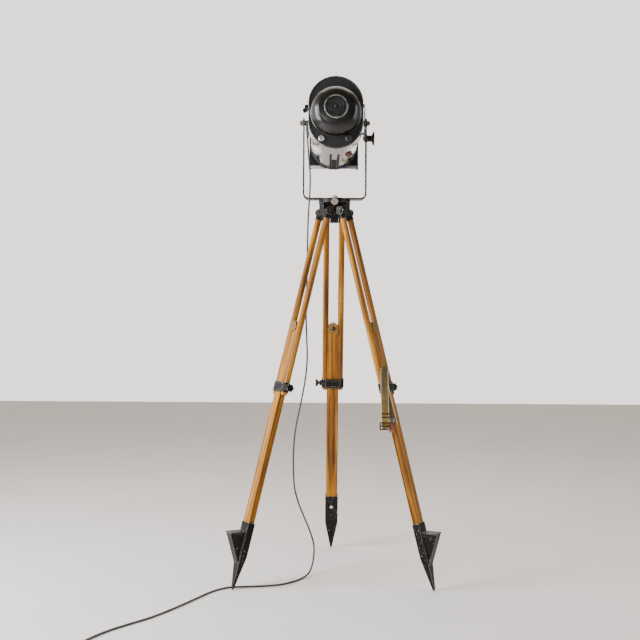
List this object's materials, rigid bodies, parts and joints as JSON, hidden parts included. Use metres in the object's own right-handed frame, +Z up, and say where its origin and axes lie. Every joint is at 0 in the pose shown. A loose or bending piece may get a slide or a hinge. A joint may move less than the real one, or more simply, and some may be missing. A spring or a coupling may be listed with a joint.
{
  "type": "tripod floor lamp",
  "caption": "Vintage theatre spotlight in a steel yoke on a wooden surveyor's tripod with telescopic legs, used as a floor lamp; flex and plug.",
  "frame": {"origin": "on the floor on the tripod's centre line, level with the tips of the three feet", "axes": "+Z up, +Y the way the lamp points, +X to the right seen from behind the lamp"},
  "size_m": [1.2131, 1.4183, 1.9544],
  "materials": {
    "oak": "oiled oak, worn satin",
    "worn_black_iron": "black paint worn through to bare metal on the edges",
    "black_handle": "black, satin",
    "black_paint": "black, semi gloss, scuffed",
    "matt_black": "matt black",
    "gloss_black_enamel": "gloss enamel",
    "dark_grey_paint": "dark grey, satin",
    "polished_aluminium": "polished, lightly brushed",
    "mirror": "silvered",
    "porcelain": "glazed porcelain",
    "bulb_glass": "pearl glass",
    "lens_glass": "clear, polished",
    "brown_bakelite": "brown bakelite",
    "brass": "dull",
    "dull_steel": "dull, knurled",
    "bright_steel": "plated",
    "khaki_webbing": "woven cotton",
    "dark_buckle": "dark worn plating",
    "cord_sheath": "matt",
    "black_rubber": "matt"
  },
  "bodies": {
    "head": {"tripod_head": "worn_black_iron", "floor_cord": "cord_sheath", "cord_coil": "cord_sheath", "plug": "black_rubber"},
    "yoke": {"yoke": "black_paint", "centre_bolt": "bright_steel", "upper_cord": "cord_sheath"},
    "tilt_lock": {"tilt_lock_knob": "black_handle"},
    "lamp": {"pivot_bolts": "dull_steel", "tilt_plate": "black_paint", "lamp_house": "polished_aluminium", "back_plate": "dark_grey_paint", "rear_dome": "gloss_black_enamel", "dome_cap": "gloss_black_enamel", "cover_screw": "bright_steel", "reflector": "mirror", "lampholder": "porcelain", "bulb": "bulb_glass", "gate": "matt_black", "barrel": "polished_aluminium", "barrel_screws": "brass", "front_ring": "matt_black", "frame_holder": "matt_black", "cable_gland": "black_rubber"},
    "lamp_adjuster": {"lamp_adjuster": "dull_steel"},
    "left_shutter": {"left_shutter": "black_handle"},
    "right_shutter": {"right_shutter": "black_handle"},
    "lens_carriage": {"lens_carriage": "matt_black", "lens": "lens_glass"},
    "focus_knob": {"focus_knob": "brown_bakelite"},
    "colour_frame": {"colour_frame": "polished_aluminium"},
    "rear_leg": {"rear_rods": "oak", "rear_sockets": "worn_black_iron", "rear_hinge_bolt": "worn_black_iron", "rear_clamp": "worn_black_iron"},
    "rear_clamp_screw": {"rear_clamp_screw": "black_handle"},
    "rear_lower_leg": {"rear_lower_leg": "oak", "rear_leg_guide": "worn_black_iron", "rear_shoe": "worn_black_iron", "rear_leg_screws": "bright_steel"},
    "left_leg": {"left_rods": "oak", "left_sockets": "worn_black_iron", "left_hinge_bolt": "worn_black_iron", "left_clamp": "worn_black_iron"},
    "left_clamp_screw": {"left_clamp_screw": "black_handle"},
    "left_lower_leg": {"left_lower_leg": "oak", "left_leg_guide": "worn_black_iron", "left_shoe": "worn_black_iron", "left_leg_screws": "bright_steel"},
    "right_leg": {"right_rods": "oak", "right_sockets": "worn_black_iron", "right_hinge_bolt": "worn_black_iron", "right_clamp": "worn_black_iron", "strap": "khaki_webbing", "strap_buckle": "dark_buckle"},
    "right_clamp_screw": {"right_clamp_screw": "black_handle"},
    "right_lower_leg": {"right_lower_leg": "oak", "right_leg_guide": "worn_black_iron", "right_shoe": "worn_black_iron", "right_leg_screws": "bright_steel"}
  },
  "joints": [
    {"name": "pan", "type": "hinge", "parent": "head", "child": "yoke", "pos_m": [0, 0, 1.507], "axis": [0, 0, 1], "range_deg": [-45, 45], "deforming": ["floor_cord"]},
    {"name": "tilt", "type": "hinge", "parent": "yoke", "child": "lamp", "pos_m": [0, 0, 1.82], "axis": [1, 0, 0], "range_deg": [-45, 45], "deforming": ["upper_cord"]},
    {"name": "tilt_lock", "type": "hinge", "parent": "yoke", "child": "tilt_lock", "pos_m": [0.14, 0, 1.758], "axis": [-1, 0, 0], "range_deg": [0, 360]},
    {"name": "lamp_adjust", "type": "hinge", "parent": "lamp", "child": "lamp_adjuster", "pos_m": [0.05, -0.20837, 1.70726], "axis": [0, -0.9976, 0.0698], "range_deg": [-180, 180]},
    {"name": "left_shutter_slide", "type": "slide", "parent": "lamp", "child": "left_shutter", "axis": [-0.891, 0.0317, 0.4529], "range_m": [-0.02, 0]},
    {"name": "right_shutter_slide", "type": "slide", "parent": "lamp", "child": "right_shutter", "axis": [0.7986, 0.042, 0.6003], "range_m": [-0.02, 0]},
    {"name": "lens_focus", "type": "slide", "parent": "lamp", "child": "lens_carriage", "axis": [0, 0.9976, -0.0698], "range_m": [-0.035, 0.035]},
    {"name": "focus_lock", "type": "hinge", "parent": "lens_carriage", "child": "focus_knob", "pos_m": [0.0576, 0.07274, 1.71338], "axis": [0.5878, -0.0564, -0.807], "range_deg": [0, 270]},
    {"name": "colour_frame_slide", "type": "slide", "parent": "lamp", "child": "colour_frame", "axis": [0, 0.0698, 0.9976], "range_m": [0, 0.2]},
    {"name": "rear_splay", "type": "hinge", "parent": "head", "child": "rear_leg", "pos_m": [0, 0.048, 1.455], "axis": [1, 0, 0], "range_deg": [-15, 30]},
    {"name": "rear_clamp_turn", "type": "hinge", "parent": "rear_leg", "child": "rear_clamp_screw", "pos_m": [-0.04475, 0.23564, 0.7547], "axis": [-1, 0, 0], "range_deg": [0, 540]},
    {"name": "rear_leg_slide", "type": "slide", "parent": "rear_leg", "child": "rear_lower_leg", "axis": [0, -0.2588, 0.9659], "range_m": [-0.19, 0.38]},
    {"name": "left_splay", "type": "hinge", "parent": "head", "child": "left_leg", "pos_m": [-0.04157, -0.024, 1.455], "axis": [-0.5, 0.866, 0], "range_deg": [-15, 30], "deforming": ["floor_cord"]},
    {"name": "left_clamp_turn", "type": "hinge", "parent": "left_leg", "child": "left_clamp_screw", "pos_m": [-0.1817, -0.15658, 0.7547], "axis": [0.5, -0.866, 0], "range_deg": [0, 540]},
    {"name": "left_leg_slide", "type": "slide", "parent": "left_leg", "child": "left_lower_leg", "axis": [0.2241, 0.1294, 0.9659], "range_m": [-0.19, 0.38], "deforming": ["floor_cord"]},
    {"name": "right_splay", "type": "hinge", "parent": "head", "child": "right_leg", "pos_m": [0.04157, -0.024, 1.455], "axis": [-0.5, -0.866, 0], "range_deg": [-15, 30]},
    {"name": "right_clamp_turn", "type": "hinge", "parent": "right_leg", "child": "right_clamp_screw", "pos_m": [0.22645, -0.07907, 0.7547], "axis": [0.5, 0.866, 0], "range_deg": [0, 540]},
    {"name": "right_leg_slide", "type": "slide", "parent": "right_leg", "child": "right_lower_leg", "axis": [-0.2241, 0.1294, 0.9659], "range_m": [-0.19, 0.38]}
  ]
}
